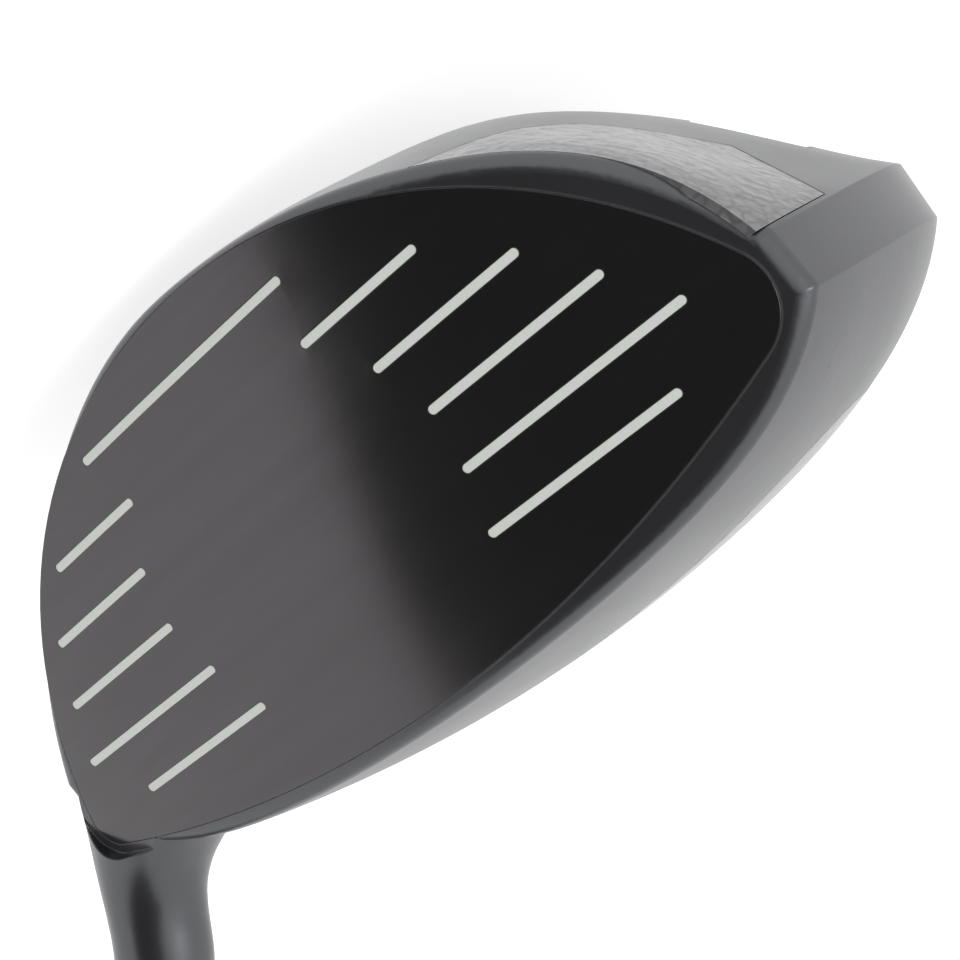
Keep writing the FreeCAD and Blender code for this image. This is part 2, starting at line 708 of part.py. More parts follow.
front_ball = face_ball("front_ball", "0")
plate_back_ball = face_ball("plate_back_ball", "plate_thickness")
seat_ball = face_ball("seat_ball", "plate_thickness - fit_gap")
ledge_ball = face_ball("ledge_ball", "plate_thickness - fit_gap - plate_ledge")
line_ball = face_ball("line_ball", "line_depth")

head_blank = common("head_blank", outer_form, front_ball)


def on_face(edge):
    return any(edge.isSame(other) for face in head_blank.Shape.Faces
               if isinstance(face.Surface, Part.Sphere) for other in face.Edges)


soft_blank = rounded("soft_blank", head_blank, on_face, size("front_edge_radius"))
ground = add("Part::Box", "ground", Placement(Vector(-FAR, -FAR, -FAR), Rotation()))
ground.Length = ground.Width = 2 * FAR
ground.Height = FAR
flat_blank = cut("flat_blank", soft_blank, ground)
solid_head = fuse("solid_head", flat_blank, neck_form())

face_front = cut("face_front", face_prism("face_front_prism", "0 - face_relief"),
                 face_ball("relief_ball", "0"))
plate_seat = cut("plate_seat", face_prism("seat_prism", "0"), seat_ball)
plate_opening = cut("plate_opening", face_prism("opening_prism", "plate_rim"), ledge_ball)

FLOOR_TOP = "hosel_top - sleeve_length - sleeve_end_gap"
FLOOR_LOW = FLOOR_TOP + " - floor_thickness"


def along_shaft(name, radius, low, high):
    """A cylinder on the shaft axis between two heights along it."""
    place = SHAFT * Placement(Vector(0, 0, total(low)), Rotation())
    item = add("Part::Cylinder", name, place, Radius=radius)
    item.Height = total(high) - total(low)
    return item


boss = along_shaft("boss", "hosel_radius", "0", "neck_end")
boss_core = along_shaft("boss_core", "sleeve_radius + running_gap + boss_wall", FLOOR_LOW,
                        "neck_end")
boss_relief = along_shaft("boss_relief", "sleeve_radius + running_gap + boss_wall + fit_gap",
                          FLOOR_LOW, "neck_end")
sleeve_bore = along_shaft("sleeve_bore", "sleeve_radius + running_gap", FLOOR_TOP, "hosel_top + hosel_radius")
floor_hole = along_shaft("floor_hole", "screw_radius + screw_clearance", FLOOR_LOW + " - floor_thickness",
                         FLOOR_TOP + " + floor_thickness")
screw_port = along_shaft("screw_port", "port_radius", "0 - port_radius - port_radius", FLOOR_LOW)

GROOVE_DEPTH = "lip_depth + lip_thickness + rail_room + track_wall + fit_gap"
trough = track_ring("trough", "track_half_width + track_wall",
                    ("0 - track_outside", GROOVE_DEPTH + " + track_wall"), "track_half_angle")
groove = track_ring("groove", "track_half_width", ("0 - track_outside", GROOVE_DEPTH), "track_half_angle")

cavity = cut("cavity", common("closed_cavity", inner_form, ledge_ball), boss, trough)

crown_pocket = cut("crown_pocket", crown_region("crown_pocket_region", "0"), pocket_form)
crown_opening = crown_region("crown_opening", "crown_ledge")
toe_pocket = cut("toe_pocket", sole_panel_region("toe_pocket_region", "toe", "0"), pocket_form)
heel_pocket = cut("heel_pocket", sole_panel_region("heel_pocket_region", "heel", "0"),
                  pocket_form)

head_body = cut("head_body", solid_head, face_front, cut("kept_seat", plate_seat, boss_core),
                cavity, cut("kept_opening", plate_opening, boss_core), crown_opening,
                crown_pocket, toe_pocket, heel_pocket, sleeve_bore, floor_hole, screw_port, groove)

plate_solid = common("plate_solid", face_prism("plate_prism", "fit_gap"), front_ball)
line_prisms = extrude("line_prisms", score_lines(), FACE.Rotation.multVec(Z_AXIS), 25, 5)
face_plate = cut("face_plate", plate_solid, plate_back_ball, cut("line_cutter", line_prisms, line_ball),
                 boss_relief)

crown_shell = cut("crown_shell",
                  common("crown_skin", outer_form, crown_region("crown_shell_region", "panel_gap")),
                  panel_form)
toe_panel = cut("toe_panel",
                common("toe_skin", outer_form, sole_panel_region("toe_panel_region", "toe", "panel_gap")),
                panel_form)
heel_panel = cut("heel_panel",
                 common("heel_skin", outer_form, sole_panel_region("heel_panel_region", "heel", "panel_gap")),
                 panel_form)


def face_brace(name, side):
    """A bar from sole to crown inside the head, a little behind the face."""
    place = Placement(Vector(side * size("brace_spread"), -size("brace_setback"), 0), Rotation())
    bar = add("Part::Cylinder", name + "_bar", place, Radius="brace_radius", Height="crown_height")
    return common(name, bar, inner_form)


brace_toe = face_brace("brace_toe", -1)
brace_heel = face_brace("brace_heel", 1)


# ---------------------------------------------------------------- adapter, screw, shaft and grip

SLEEVE_BASE = "hosel_top - sleeve_length"
SOCKET_BASE = SLEEVE_BASE + " + thread_length"
COG_TOP = "hosel_top + fit_gap + cog_height"
COLLAR_TOP = COG_TOP + " + collar_height"
FERRULE_TOP = COLLAR_TOP + " + ferrule_length"
TIP_BORE = "shaft_tip_radius + fit_gap"
THREAD_BORE = "screw_radius + running_gap"

adapter_sleeve = turned("adapter_sleeve", SHAFT, [
    (THREAD_BORE, SLEEVE_BASE),
    ("sleeve_radius", SLEEVE_BASE),
    ("sleeve_radius", COG_TOP),
    ("hosel_radius", COG_TOP),
    ("hosel_radius", COLLAR_TOP),
    (TIP_BORE, COLLAR_TOP),
    (TIP_BORE, SOCKET_BASE),
    (THREAD_BORE, SOCKET_BASE),
])

loft_cog = turned("loft_cog", SHAFT, [
    ("sleeve_radius + fit_gap", "hosel_top + fit_gap"),
    ("hosel_radius", "hosel_top + fit_gap"),
    ("hosel_radius", COG_TOP),
    ("sleeve_radius + fit_gap", COG_TOP),
])

ferrule = turned("ferrule", SHAFT, [
    (TIP_BORE, COLLAR_TOP),
    ("hosel_radius", COLLAR_TOP),
    ("ferrule_tip_radius", FERRULE_TOP),
    (TIP_BORE, FERRULE_TOP),
])

SCREW_SEAT = FLOOR_LOW + " - fit_gap"
WASHER_LOW = SCREW_SEAT + " - washer_thickness"
HEAD_LOW = WASHER_LOW + " - screw_head_height"

hosel_screw = hexagon_socket(turned("hosel_screw", SHAFT, [
    ("0", HEAD_LOW),
    ("screw_head_radius", HEAD_LOW),
    ("screw_head_radius", WASHER_LOW),
    ("screw_radius", WASHER_LOW),
    ("screw_radius", SLEEVE_BASE + " + screw_engagement"),
    ("0", SLEEVE_BASE + " + screw_engagement"),
]), "drive_half_width", HEAD_LOW, "drive_depth")

screw_washer = turned("screw_washer", SHAFT, [
    (THREAD_BORE, WASHER_LOW),
    ("screw_head_radius", WASHER_LOW),
    ("screw_head_radius", SCREW_SEAT),
    (THREAD_BORE, SCREW_SEAT),
])

RETAINER_TOP = HEAD_LOW + " - travel_gap"
screw_retainer = turned("screw_retainer", SHAFT, [
    ("retainer_bore", RETAINER_TOP + " - retainer_thickness"),
    ("port_radius - fit_gap", RETAINER_TOP + " - retainer_thickness"),
    ("port_radius - fit_gap", RETAINER_TOP),
    ("retainer_bore", RETAINER_TOP),
])

GRIP_MOUTH = "club_length - grip_length"
SHAFT_END = "club_length - cap_thickness"
shaft = turned("shaft", SHAFT, [
    ("shaft_tip_radius - shaft_wall", SOCKET_BASE),
    ("shaft_tip_radius", SOCKET_BASE),
    ("shaft_tip_radius", "taper_start"),
    ("shaft_butt_radius", GRIP_MOUTH),
    ("shaft_butt_radius", SHAFT_END),
    ("shaft_butt_radius - shaft_wall", SHAFT_END),
    ("shaft_butt_radius - shaft_wall", GRIP_MOUTH),
    ("shaft_tip_radius - shaft_wall", "taper_start"),
])

tip_plug = turned("tip_plug", SHAFT, [
    ("0", SOCKET_BASE),
    ("shaft_tip_radius - shaft_wall - fit_gap", SOCKET_BASE),
    ("shaft_tip_radius - shaft_wall - fit_gap", SOCKET_BASE + " + plug_length"),
    ("0", SOCKET_BASE + " + plug_length"),
])

TAPE_INSIDE = "shaft_butt_radius + fit_gap"
TAPE_OUTSIDE = TAPE_INSIDE + " + tape_thickness"
grip_tape = turned("grip_tape", SHAFT, [
    (TAPE_INSIDE, GRIP_MOUTH + " + tape_inset"),
    (TAPE_OUTSIDE, GRIP_MOUTH + " + tape_inset"),
    (TAPE_OUTSIDE, SHAFT_END),
    (TAPE_INSIDE, SHAFT_END),
])

GRIP_BORE = TAPE_OUTSIDE + " + fit_gap"
CAP_LOW = "club_length - cap_height"
grip = turned("grip", SHAFT, [
    (GRIP_BORE, GRIP_MOUTH),
    ("grip_mouth_radius", GRIP_MOUTH),
    ("grip_top_radius", CAP_LOW),
    (GRIP_BORE, CAP_LOW),
])


def grip_cap_body():
    """The grip's end: a cup over the shaft with a rounded edge and a vent hole."""
    body = turned("grip_cap", SHAFT, [
        (GRIP_BORE, CAP_LOW),
        ("grip_top_radius", CAP_LOW),
        ("cap_radius", CAP_LOW + " + cap_edge_radius"),
        ("cap_radius", "club_length"),
        ("vent_radius", "club_length"),
        ("vent_radius", SHAFT_END),
        (GRIP_BORE, SHAFT_END),
    ])
    document.recompute()
    turn = body.Tip
    rims = [f"Edge{number}" for number, edge in enumerate(turn.Shape.Edges, 1)
            if edge.Closed and edge.CenterOfMass.z > size("club_length") - 0.01
            and edge.BoundBox.XLength > size("cap_radius")]
    fillet = body.newObject("PartDesign::Fillet", "grip_cap_rounding")
    fillet.Base = (turn, rims)
    fillet.setExpression("Radius", "Sizes.cap_edge_radius")
    body.Tip = fillet
    return body


grip_cap = grip_cap_body()


# ---------------------------------------------------------------- sliding weight

def rail_body():
    """A curved rail with two lips that the clamp nut pulls against."""
    lip_inside = "lip_depth + lip_thickness"
    outside = track_ring("rail_outside", "track_half_width - fit_gap",
                         ("lip_depth", GROOVE_DEPTH + " - fit_gap"), "track_half_angle")
    room = track_ring("rail_room_form", "track_half_width - fit_gap - track_wall",
                      (lip_inside, lip_inside + " + rail_room"), "track_half_angle")
    slot = track_ring("rail_slot", "lip_opening",
                      ("lip_depth - lip_thickness", lip_inside + " + fit_gap"), "track_half_angle")
    return cut("weight_track", outside, room, slot)


def along_weight(name, radius, low, high):
    """A cylinder on the weight screw's axis between two depths below the weight's outer face."""
    place = WEIGHT * Placement(Vector(0, 0, total(low)), Rotation())
    item = add("Part::Cylinder", name, place, Radius=radius)
    item.Height = total(high) - total(low)
    return item


weight_track = rail_body()

BLOCK_TOP = "lip_depth - fit_gap"
CLAMP_LOW = "lip_depth + lip_thickness + fit_gap"
HEAD_TOP = "weight_head_sink + weight_head_height"
block_ring = track_ring("block_ring", "track_half_width - travel_gap", ("0 - block_proud", BLOCK_TOP),
                        "block_half_angle")
weight_block = cut(
    "weight_block", block_ring,
    along_weight("block_bore", "weight_screw_radius + running_gap", "0", "lip_depth + block_proud"),
    along_weight("block_sink", "weight_head_radius + running_gap", "0 - weight_head_height",
                 HEAD_TOP + " + fit_gap"))

clamp_ring = track_ring("clamp_ring", "track_half_width - track_wall - travel_gap - travel_gap",
                        (CLAMP_LOW, CLAMP_LOW + " + clamp_thickness"), "clamp_half_angle")
weight_clamp = cut(
    "weight_clamp", clamp_ring,
    along_weight("clamp_bore", "weight_screw_radius + running_gap", "0",
                 "track_outside"))

weight_screw = hexagon_socket(turned("weight_screw", WEIGHT, [
    ("0", "weight_head_sink"),
    ("weight_head_radius", "weight_head_sink"),
    ("weight_head_radius", HEAD_TOP),
    ("weight_screw_radius", HEAD_TOP),
    ("weight_screw_radius", "block_proud + " + CLAMP_LOW + " + clamp_thickness"),
    ("0", "block_proud + " + CLAMP_LOW + " + clamp_thickness"),
]), "weight_drive_half_width", "weight_head_sink", "weight_drive_depth")


# ---------------------------------------------------------------- check and write

SUB_PARTS = [
    head_body, face_plate, crown_shell, toe_panel, heel_panel, brace_toe, brace_heel,
    adapter_sleeve, loft_cog, ferrule, hosel_screw, screw_washer, screw_retainer,
    shaft, tip_plug, grip_tape, grip, grip_cap,
    weight_track, weight_block, weight_clamp, weight_screw,
]

document.recompute()
for item in document.Objects:
    if "Invalid" in item.State or "Error" in item.State:
        raise ValueError(f"{item.Label} did not build: {item.State}")
for item in SUB_PARTS:
    if item.Shape.isNull() or not item.Shape.isValid():
        raise ValueError(f"{item.Label} has no valid shape")
    print(f"{item.Label}: {len(item.Shape.Solids)} solid(s), {item.Shape.Volume:.0f} mm3")

enclosed = solid_head.Shape.Volume / 1000
print(f"head encloses {enclosed:.0f} cc with its neck")

os.makedirs("parts", exist_ok=True)
for item in SUB_PARTS:
    item.Shape.exportStep(f"parts/{item.Label}.step")
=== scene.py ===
"""Golf driver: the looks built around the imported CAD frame.

The head, shaft and grip keep their CAD shapes wherever those are already right and get
layered procedural finishes. The crinkled sole panels, the moulded grip and the paint in
the score lines are meshes of their own. All lengths are in metres in the frame's axes:
+Z up, the face towards -Y, the toe towards -X and the shaft rising towards +X.
"""

import math

import bmesh
import bpy
from bpy.props import FloatProperty, FloatVectorProperty, IntProperty, PointerProperty
from mathutils import Matrix, Vector, noise


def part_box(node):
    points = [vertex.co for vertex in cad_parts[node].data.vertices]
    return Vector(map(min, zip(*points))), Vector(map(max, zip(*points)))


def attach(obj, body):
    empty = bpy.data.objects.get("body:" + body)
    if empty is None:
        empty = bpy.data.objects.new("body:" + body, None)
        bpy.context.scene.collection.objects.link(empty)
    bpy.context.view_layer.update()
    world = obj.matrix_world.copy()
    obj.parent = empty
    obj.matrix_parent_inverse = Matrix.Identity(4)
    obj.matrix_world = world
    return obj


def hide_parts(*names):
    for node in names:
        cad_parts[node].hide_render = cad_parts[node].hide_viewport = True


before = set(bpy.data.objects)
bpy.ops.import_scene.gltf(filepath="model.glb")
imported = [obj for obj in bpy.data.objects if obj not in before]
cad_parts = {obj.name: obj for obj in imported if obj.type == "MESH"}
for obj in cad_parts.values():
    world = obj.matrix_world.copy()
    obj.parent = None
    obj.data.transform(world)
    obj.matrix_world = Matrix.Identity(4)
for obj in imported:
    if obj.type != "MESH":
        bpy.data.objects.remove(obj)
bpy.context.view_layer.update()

bl_info = {
    "name": "Golf driver looks",
    "version": (1, 0, 0),
    "blender": (4, 5, 0),
    "location": "3D View > Sidebar > Driver",
    "description": "Finishes and fine pieces of a golf driver on its CAD frame",
    "category": "Object",
}

MM = 0.001

# The face's own axes: across to the heel, up the loft, and out of the face.
LOFT = math.radians(10.5)
FACE_CENTRE = Vector((0.0, -18.0, 30.0)) * MM
FACE_ACROSS = Vector((1.0, 0.0, 0.0))
FACE_UP = Vector((0.0, math.sin(LOFT), math.cos(LOFT)))
FACE_OUT = FACE_ACROSS.cross(FACE_UP)
FACE_RADIUS = 305.0 * MM

# The shaft's line: where it would meet the ground, and its direction.
LIE = math.radians(58.0)
SHAFT_FOOT = Vector((32.8, 0.0, 0.0)) * MM
SHAFT_LINE = Vector((math.cos(LIE), 0.0, math.sin(LIE)))
SHAFT_PLACE = Matrix((
    (math.sin(LIE), 0.0, math.cos(LIE), SHAFT_FOOT.x),
    (0.0, 1.0, 0.0, SHAFT_FOOT.y),
    (-math.cos(LIE), 0.0, math.sin(LIE), SHAFT_FOOT.z),
    (0.0, 0.0, 0.0, 1.0),
))

# The sliding weight's screw, pointing into the head.
WEIGHT_LINE = Vector((0.0, -0.428935, 0.903335))

# Score lines in the face's axes, in millimetres: height, then each line's two ends.
SCORE_LINES = (
    (-18.7, (-18.8, 18.8)),
    (-11.5, (17.1, 34.1)),
    (-4.3, (22.5, 42.9)),
    (2.9, (24.7, 48.6)),
    (10.1, (23.5, 53.6)),
    (17.3, (20.9, 47.2)),
)
LINE_CUTS = 10          # divisions of half a score line's paint, so that it bends
LINE_SIDES = 26         # corners of the round ends together
LINE_SHOULDER = 0.16    # share of the paint's width that slopes to its edge
LINE_CROWN = 0.03 * MM  # rise of its middle

# How the sole panels' meshes are refined.
CRINKLE_SEED = 1        # the same crinkles on every run
PANEL_ROUNDS = 6
PANEL_MOST_FACES = 60000
PANEL_FLATNESS = 0.9    # least agreement of a point's faces for it to be off an edge

# The grip's grooves: rows along it, starts around it, and their shape.
GRIP_ROWS = 330
GROOVE_STARTS = 4
GROOVE_WIDTH = 0.28
PLAIN_BANDS = 6
PLAIN_WIDTH = 0.1
PLAIN_ENDS = (0.02, 0.985)
SKIN_DEPTH = 0.3 * MM   # points this close to the bore are the inside

# The camera, and the outline of the dark card that the face mirrors.
CAMERA_PLACE = Vector((-135.233, -182.409, 71.881)) * MM
CAMERA_RIGHT = Vector((-0.660795, 0.534375, 0.527062))
CAMERA_UP = Vector((-0.513818, 0.189812, -0.836637))
CAMERA_LENS = 71.25
CARD_CORNERS = (
    (-0.30, -0.95, -0.60), (0.30, -0.95, -0.60), (0.47, -0.95, 0.0),
    (0.78, -0.95, 0.50), (1.30, -0.95, 1.70), (-0.55, -0.95, 1.70),
)
CARD_GLOW = (0.006, 0.003, 0.004)
FLOOR_GLOW = 0.78
FLOOR_DROP = 0.3 * MM   # keeps the floor off the sole's ground pad


# ---------------------------------------------------------------- settings

def tint(name, words, value):
    """A colour setting, red, green and blue."""
    return FloatVectorProperty(
        name=name, description=words, default=value, subtype="COLOR", size=3, min=0, max=1
    )


def span(name, words, value):
    """A length setting."""
    return FloatProperty(
        name=name, description=words, default=value, min=0, unit="LENGTH", precision=5
    )


class DriverColours(bpy.types.PropertyGroup):
    """The club's finishes."""

    shell: tint("Shell", "Satin coat on the head and neck", (0.115, 0.117, 0.124))
    face: tint("Face", "Dark brushed face", (0.105, 0.100, 0.104))
    line: tint("Score lines", "Paint in the score lines", (0.49, 0.51, 0.48))
    sole: tint("Sole panels", "Crinkled composite on the sole", (0.19, 0.19, 0.195))
    crown: tint("Crown", "Woven composite crown", (0.03, 0.03, 0.033))
    track: tint("Track", "Anodised weight track", (0.035, 0.035, 0.04))
    weight: tint("Weight", "Turned steel weight", (0.46, 0.46, 0.47))
    screw: tint("Screws", "Black-oxide screws", (0.07, 0.07, 0.075))
    adapter: tint("Adapter", "Anodised adapter", (0.38, 0.39, 0.41))
    shaft: tint("Shaft", "Lacquered graphite", (0.014, 0.014, 0.017))
    ferrule: tint("Ferrule", "Turned plastic collar", (0.010, 0.010, 0.011))
    grip: tint("Grip", "Moulded rubber", (0.022, 0.022, 0.023))


class DriverSizes(bpy.types.PropertyGroup):
    """The sizes of the fine pieces."""

    line_width: span("Line width", "Width of the paint in a score line", 1.08 * MM)
    line_sink: span("Line sink", "How far the paint lies below the face", 0.05 * MM)
    line_thickness: span("Paint thickness", "Thickness of the paint", 0.27 * MM)
    crinkle_depth: span("Crinkle depth", "Height of the sole panels' crinkles", 0.12 * MM)
    crinkle_size: span("Crinkle size", "Spacing of the larger crinkles", 2.6 * MM)
    panel_edge: span("Panel edge", "Longest mesh edge on a sole panel", 0.75 * MM)
    grip_pitch: span("Grip pitch", "Spacing of the crossing grooves", 7.0 * MM)
    grip_groove: span("Grip groove", "Depth of the crossing grooves", 0.45 * MM)
    floor_size: span("Floor size", "Side of the square floor", 14.0)
    grip_steps: IntProperty(
        name="Grip steps", description="Divisions around the grip", default=144, min=24
    )


class DriverSettings(bpy.types.PropertyGroup):
    """Everything that can be changed."""

    colours: PointerProperty(type=DriverColours)
    sizes: PointerProperty(type=DriverSizes)


# ---------------------------------------------------------------- materials

def node(tree, kind, inputs=(), **settings):
    """Adds a node, and links or sets its inputs."""
    made = tree.nodes.new("ShaderNode" + kind)
    for key, value in settings.items():
        setattr(made, key, value)
    for key, value in dict(inputs).items():
        if isinstance(value, bpy.types.NodeSocket):
            tree.links.new(value, made.inputs[key])
        else:
            made.inputs[key].default_value = value
    return made


def started(name, metallic=0.0, **constants):
    """A new material: its tree, its shader, and where on the object it is."""
    material = bpy.data.materials.new(name)
    material.use_nodes = True
    tree = material.node_tree
    shader = tree.nodes["Principled BSDF"]
    shader.inputs["Metallic"].default_value = metallic
    for key, value in constants.items():
        shader.inputs[key.replace("_", " ")].default_value = value
    where = node(tree, "TexCoord").outputs["Object"]
    return material, tree, shader, where


def speckle(tree, where, size, stretch=(1, 1, 1), turn=(0, 0, 0), detail=2.0):
    """Noise whose features are about size metres, longer along an axis of low stretch."""
    placed = node(tree, "Mapping", {"Vector": where, "Rotation": turn, "Scale": stretch})
    return node(
        tree, "TexNoise",
        {"Vector": placed.outputs[0], "Scale": 1 / size, "Detail": detail},
    ).outputs[0]


def spread(tree, value, low, high, start=0.3, end=0.7):
    """A value from low to high as another goes from start to end."""
    return node(
        tree, "MapRange",
        {"Value": value, "From Min": start, "From Max": end, "To Min": low, "To Max": high},
    ).outputs[0]


def shades(tree, value, colour, low, high):
    """A colour, between low and high times itself."""
    ends = [tuple(c * share for c in colour) + (1.0,) for share in (low, high)]
    made = node(tree, "Mix", data_type="RGBA")  # its colour sockets are 6 and 7, out 2
    tree.links.new(value, made.inputs[0])
    made.inputs[6].default_value, made.inputs[7].default_value = ends
    return made.outputs[2]


def relief(tree, height, depth, base=None, strength=1.0):
    """A bump of that depth in metres."""
    inputs = {"Height": height, "Distance": depth, "Strength": strength}
    if base is not None:
        inputs["Normal"] = base
    return node(tree, "Bump", inputs).outputs[0]


def eased(tree, radius):
    """Edges that catch the light as if rounded to that radius."""
    return node(tree, "Bevel", {"Radius": radius}, samples=4).outputs[0]


def dress(shader, tree, colour, roughness, normal):
    """Links what varies over the surface."""
    for key, value in (("Base Color", colour), ("Roughness", roughness), ("Normal", normal)):
        tree.links.new(value, shader.inputs[key])


def satin_coat(colour):
    """Fine satin coat over cast metal."""
    material, tree, shader, where = started("satin_coat", metallic=0.92)
    grain, cloud = speckle(tree, where, 0.25 * MM), speckle(tree, where, 24 * MM, detail=4)
    dress(
        shader, tree, shades(tree, cloud, colour, 0.93, 1.07),
        spread(tree, cloud, 0.26, 0.32),
        relief(tree, grain, 0.004 * MM, eased(tree, 0.35 * MM)),
    )
    return material


def brushed_face(colour):
    """Dark coat over heel-to-toe brushing."""
    material, tree, shader, where = started("brushed_face", metallic=0.95)
    fine = speckle(tree, where, 0.16 * MM, stretch=(0.012, 1, 1), detail=3)
    broad = speckle(tree, where, 2.2 * MM, stretch=(0.03, 1, 1))
    cloud = speckle(tree, where, 30 * MM, detail=3)
    dress(
        shader, tree, shades(tree, broad, colour, 0.92, 1.08),
        spread(tree, cloud, 0.15, 0.19),
        relief(tree, fine, 0.004 * MM, eased(tree, 0.2 * MM)),
    )
    return material


def line_paint(colour):
    """Soft-gloss paint with a little dust in it."""
    material, tree, shader, where = started("line_paint")
    dust, dabs = speckle(tree, where, 0.2 * MM, detail=4), speckle(tree, where, 2.5 * MM)
    dress(
        shader, tree, shades(tree, dust, colour, 0.86, 1.08),
        spread(tree, dabs, 0.42, 0.6), relief(tree, dabs, 0.05 * MM, strength=0.5),
    )
    return material


def crinkled(colour):
    """Satin composite with a leathery crinkle, and painted shade darkening its creases."""
    material, tree, shader, where = started("crinkled_composite", metallic=0.6)
    warp = node(tree, "TexNoise", {"Vector": where, "Scale": 300.0, "Detail": 3.0})
    shift = node(
        tree, "VectorMath", {0: warp.outputs["Color"], 1: (1.2 * MM, 1.2 * MM, 1.2 * MM)},
        operation="MULTIPLY",
    ).outputs[0]
    bent = node(tree, "VectorMath", {0: where, 1: shift}, operation="ADD").outputs[0]
    folds = node(
        tree, "TexVoronoi", {"Vector": bent, "Scale": 620.0}, feature="DISTANCE_TO_EDGE"
    ).outputs["Distance"]
    # Zero along the crinkles' fold lines: it sinks the creases as a bump and darkens their colour
    # as painted shade.
    creases_and_painted_shade = spread(tree, folds, 0.0, 1.0, 0.0, 0.22)
    cloud = speckle(tree, where, 12 * MM, detail=4)
    # Painted shade: the colour drops to 0.72 of itself in the creases and rises to 1.06 between
    # them.
    dress(
        shader, tree, shades(tree, creases_and_painted_shade, colour, 0.72, 1.06),
        spread(tree, cloud, 0.17, 0.26), relief(tree, creases_and_painted_shade, 0.02 * MM, strength=0.35),
    )
    return material


def woven_crown(colour):
    """Twill-woven composite under a satin lacquer."""
    material, tree, shader, where = started(
        "woven_crown", metallic=0.0, Coat_Weight=0.8, Coat_Roughness=0.16
    )
    flat = node(
        tree, "Mapping",
        {"Vector": where, "Rotation": (0, 0, math.radians(45)), "Scale": (1, 1, 0)},
    ).outputs[0]
    cells = node(tree, "TexChecker", {"Vector": flat, "Scale": 520.0}).outputs["Fac"]
    warp, weft = (
        node(
            tree, "TexWave", {"Vector": flat, "Scale": 900.0, "Distortion": 0.6},
            bands_direction=axis,
        ).outputs["Fac"]
        for axis in "XY"
    )
    fibres = node(tree, "Mix", {0: cells, 2: warp, 3: weft}).outputs[0]
    tone = node(tree, "Math", {0: fibres, 1: cells}, operation="ADD").outputs[0]
    dress(
        shader, tree, shades(tree, spread(tree, tone, 0, 1, 0, 2), colour, 0.55, 1.9),
        spread(tree, tone, 0.3, 0.46, 0, 2), relief(tree, tone, 0.01 * MM),
    )
    return material


def turned_metal(name, colour, place, rough, metallic=1.0, pitch=0.12 * MM):
    """Metal with the fine rings a lathe leaves around an axis."""
    material, tree, shader, where = started(name, metallic=metallic)
    local = node(
        tree, "Mapping",
        {"Vector": where, "Location": place.translation, "Rotation": place.to_euler()},
        vector_type="TEXTURE",
    ).outputs[0]
    rings = node(
        tree, "TexWave", {"Vector": local, "Scale": 0.3 / pitch, "Distortion": 0.4},
        wave_type="RINGS", rings_direction="Z",
    ).outputs["Fac"]
    cloud = speckle(tree, where, 3 * MM, detail=4)
    dress(
        shader, tree, shades(tree, cloud, colour, 0.85, 1.12),
        spread(tree, rings, rough, rough + 0.1, 0, 1),
        relief(tree, rings, 0.003 * MM, eased(tree, 0.12 * MM)),
    )
    return material


def grained(name, colour, size, depth, rough, metallic=0.0, radius=0.2 * MM, stretch=(1, 1, 1),
            turn=(0, 0, 0), **constants):
    """A plain finish with a grain of its own size."""
    material, tree, shader, where = started(name, metallic=metallic, **constants)
    grain = speckle(tree, where, size, stretch=stretch, turn=turn, detail=4)
    cloud = speckle(tree, where, 12 * size, detail=3)
    dress(
        shader, tree, shades(tree, cloud, colour, 0.8, 1.2),
        spread(tree, cloud, rough - 0.04, rough + 0.06),
        relief(tree, grain, depth, eased(tree, radius)),
    )
    return material


def lacquered_graphite(colour):
    """Unidirectional fibres under clear lacquer, their streaks lightened with painted glints."""
    material, tree, shader, where = started(
        "lacquered_graphite", metallic=0.15, Coat_Weight=1.0, Coat_Roughness=0.05
    )
    along = (0, math.pi / 2 - LIE, 0)
    # Streaks along the shaft: fibre grain in the bump, and fibre tone with painted glints in the
    # colour.
    fibres = speckle(tree, where, 0.12 * MM, stretch=(1, 1, 0.01), turn=along, detail=2)
    cloud = speckle(tree, where, 6 * MM, stretch=(1, 1, 0.1), turn=along)
    # Partly fibre tone, partly painted glints: the streaks lighten the colour up to 1.9 times.
    dress(
        shader, tree, shades(tree, fibres, colour, 0.6, 1.9),
        spread(tree, cloud, 0.3, 0.42), relief(tree, fibres, 0.002 * MM),
    )
    return material


def rubber(colour):
    """Matt rubber, a little polished where hands rub it."""
    material, tree, shader, where = started("moulded_rubber", Sheen_Weight=0.15)
    pores, rubbed = speckle(tree, where, 0.35 * MM, detail=5), speckle(tree, where, 26 * MM)
    dress(
        shader, tree, shades(tree, rubbed, colour, 0.8, 1.35),
        spread(tree, rubbed, 0.88, 0.62), relief(tree, pores, 0.03 * MM, strength=0.8),
    )
    return material


# ---------------------------------------------------------------- pieces

def coat(material, *names):
    """Gives CAD nodes a finish."""
    for name in names:
        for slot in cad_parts[name].material_slots:
            slot.material = material


def piece(name, made, material, body, smooth_to=None):
    """A finished mesh as an object that rides on a body."""
    bmesh.ops.recalc_face_normals(made, faces=made.faces)
    if smooth_to is not None:
        for face in made.faces:
            face.smooth = True
        for edge in made.edges:
            edge.smooth = edge.calc_face_angle(0.0) < smooth_to
    mesh = bpy.data.meshes.new(name)
    made.to_mesh(mesh)
    made.free()
    mesh.materials.append(material)
    thing = bpy.data.objects.new(name, mesh)
    bpy.context.scene.collection.objects.link(thing)
    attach(thing, body)
    return thing


def on_face(across, up, out):
    """A point at a depth from the bulged face."""
    flat = Vector((across, up))
    sink = math.sqrt(FACE_RADIUS ** 2 - flat.length_squared) - FACE_RADIUS
    middle = FACE_CENTRE - FACE_OUT * FACE_RADIUS
    point = FACE_CENTRE + FACE_ACROSS * across + FACE_UP * up + FACE_OUT * sink
    return point + (point - middle).normalized() * out


def linked_faces(start):
    """Every face joined to a vertex's island."""
    seen, todo = set(), list(start.link_faces)
    while todo:
        face = todo.pop()
        if face in seen:
            continue
        seen.add(face)
        todo.extend(f for e in face.edges for f in e.link_faces if f not in seen)
    return list(seen)


